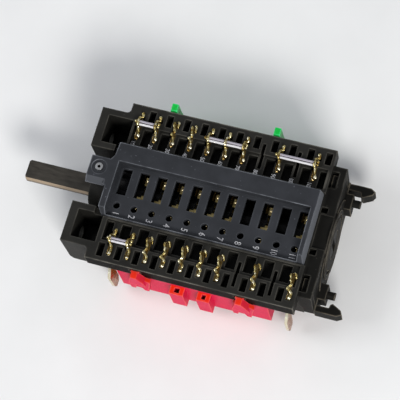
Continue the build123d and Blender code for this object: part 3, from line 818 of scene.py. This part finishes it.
def jumper(name, first, last, side):
    """Two round bars side by side, joined by a thin web at each end."""
    place_x = near_x if side < 0 else far_x
    y0 = JUMPER_NEAR if side < 0 else JUMPER_FAR
    x0 = place_x(first) + BAR_START
    x1 = place_x(last) + BAR_STOP
    rng = random.Random(len(name) + first)
    bm = bmesh.new()
    for offset in (-BAR_STEP, BAR_STEP):
        rows = [(x0 + BAR_TIP_INSET, y0 + offset, BAR_Z, *BAR_TIP)]
        for k in range(BAR_SPANS + 1):
            x = x0 + BAR_FULL_INSET + (x1 - x0 - 2 * BAR_FULL_INSET) * k / BAR_SPANS
            wander = rng.uniform(-BAR_WANDER, BAR_WANDER)
            rows.append((x, y0 + offset + wander, BAR_Z + wander / 2, *BAR_SECTION))
        rows.append((x1 - BAR_TIP_INSET, y0 + offset, BAR_Z, *BAR_TIP))
        sweep(bm, through(rows, 3), sides=16, squareness=2.0)
    web_z = BAR_Z - WEB_DROP
    outer, inner = WEB_SPAN
    for a, b in ((x0 + outer, x0 + inner), (x1 - inner, x1 - outer)):
        sweep(bm, [(a, y0, web_z, *WEB_SECTION), (b, y0, web_z, *WEB_SECTION)], sides=8)
    piece = add_piece(f"{name}_bars", bm, TINNED)
    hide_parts(name)


for row in JUMPERS:
    jumper(*row)


# Contact springs: the button on the tip, and the lug in the cover's hole
BUTTON_OFFSET = BLADE_OFFSET - 0.05
BUTTON_Y = 2.85
BUTTON_HALF = (0.62, 0.50, 0.20)
SIGHT_LUG_OFFSET = (0.30, 0.42)
SIGHT_LUG = [
    (0.0, 0.0, BLADE_TOP - 0.1, 0.50, 0.44),
    (0.0, 0.0, 8.2, 0.50, 0.44),
    (0.02, 0.02, 8.85, 0.46, 0.40),
    (0.03, 0.04, 9.02, 0.24, 0.20),
]


def contact_button(i):
    """A low dome pressed into the tip of a contact spring."""
    bm = bmesh.new()
    made = bmesh.ops.create_uvsphere(bm, u_segments=20, v_segments=10, radius=1.0)
    middle = Vector((position_x(i) + BUTTON_OFFSET, BUTTON_Y, BLADE_TOP + BUTTON_HALF[2]))
    for v in made["verts"]:
        dome = Vector([value * half for value, half in zip(v.co, BUTTON_HALF)])
        v.co = (dome + middle) * MM
    add_piece(f"contact_button_{i:02d}", bm, BUTTON, f"contact_{i:02d}")


def sight_lug(i):
    """The end of a spring that stands up in the cover's round hole."""
    x = position_x(i) + SIGHT_LUG_OFFSET[0]
    y = HOLE_Y + SIGHT_LUG_OFFSET[1]
    bm = bmesh.new()
    rows = [(x + dx, y + dy, *rest) for dx, dy, *rest in SIGHT_LUG]
    sweep(bm, rows, sides=12, lift=(0, 1, 0))
    add_piece(f"sight_lug_{i:02d}", bm, BUTTON, f"contact_{i:02d}")


for i in FITTED[1:]:
    contact_button(i)
    sight_lug(i)


# Plain numbers by the cover's holes and on the far deck
DIGIT_SHARE = 0.72
DIGIT_RISE = 0.03
BOLD = 0.022
HOLE_NUMBER_HEIGHT = 1.85
FAR_NUMBER_HEIGHT = 1.2
FAR_NUMBER_Y = 11.98
FAR_NUMBER_STEP = -1.15
HOLE_NUMBER_STEP = -0.14
FIRST_NUMBER_STEP = 0.36

# Place across the part, width by the hole, width on the far deck, boldness
ONE_DIGIT = (-8.68, 0.80, 0.80, BOLD)
TWO_DIGITS = (-8.62, 0.68, 0.56, 0.0)


def number(text, name, place, height, narrow, material, bold=BOLD):
    """Raised digits with their centre at the place, read toward -Y."""
    curve = bpy.data.curves.new(name, "FONT")
    curve.body = text
    curve.size = height / DIGIT_SHARE * MM
    curve.extrude = DIGIT_RISE * MM
    curve.align_x = "CENTER"
    curve.align_y = "CENTER"
    curve.offset = bold * MM
    made = bpy.data.objects.new(name, curve)
    bpy.context.scene.collection.objects.link(made)
    bpy.context.view_layer.update()
    mesh = bpy.data.meshes.new_from_object(made)
    bpy.data.objects.remove(made)
    x, y, z = place
    mesh.transform(Matrix((
        (0, 1, 0, x * MM),
        (-narrow, 0, 0, y * MM),
        (0, 0, 1, z * MM),
        (0, 0, 0, 1),
    )))
    mesh.materials.clear()
    mesh.materials.append(material)
    piece = bpy.data.objects.new(name, mesh)
    bpy.context.scene.collection.objects.link(piece)
    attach(piece, BODY)


def numbers(i):
    """The position by its hole, and ten times the position on the far deck."""
    x = position_x(i)
    step = FIRST_NUMBER_STEP if i == 1 else HOLE_NUMBER_STEP
    y, narrow, far_narrow, bold = ONE_DIGIT if i < 10 else TWO_DIGITS
    hole_place = (x + step, y, COVER_FLOOR)
    far_place = (x + FAR_NUMBER_STEP, FAR_NUMBER_Y, ZONE_TOP)
    number(str(i), f"number_{i:02d}", hole_place, HOLE_NUMBER_HEIGHT, narrow, MARK, bold)
    # The far numbers take the paler copy, painted light.
    number(str(10 * i), f"far_number_{i:02d}", far_place, FAR_NUMBER_HEIGHT, far_narrow,
           FAR_MARK_PAINTED_LIGHT)


for i in POSITIONS:
    numbers(i)


# Floor
FLOOR_HALF = 3.0


def floor_piece():
    mesh = bpy.data.meshes.new("floor")
    corners = [(-1, -1), (1, -1), (1, 1), (-1, 1)]
    points = [(FLOOR_HALF * x, FLOOR_HALF * y, 0) for x, y in corners]
    mesh.from_pydata(points, [], [(0, 1, 2, 3)])
    floor = bpy.data.objects.new("floor", mesh)
    bpy.context.scene.collection.objects.link(floor)
    floor.location.z = CAD_BOX[0][2]
    material, nodes, links, bsdf = new_material("floor")
    cloud = object_noise(nodes, links, 40.0)
    pale = [(0.3, (0.76, 0.76, 0.75)), (0.7, (0.80, 0.80, 0.79))]
    links.new(ramp(nodes, links, cloud, pale), bsdf.inputs["Base Color"])
    bsdf.inputs["Roughness"].default_value = 0.8
    mesh.materials.append(material)


floor_piece()
bpy.context.scene.view_settings.view_transform = "Standard"
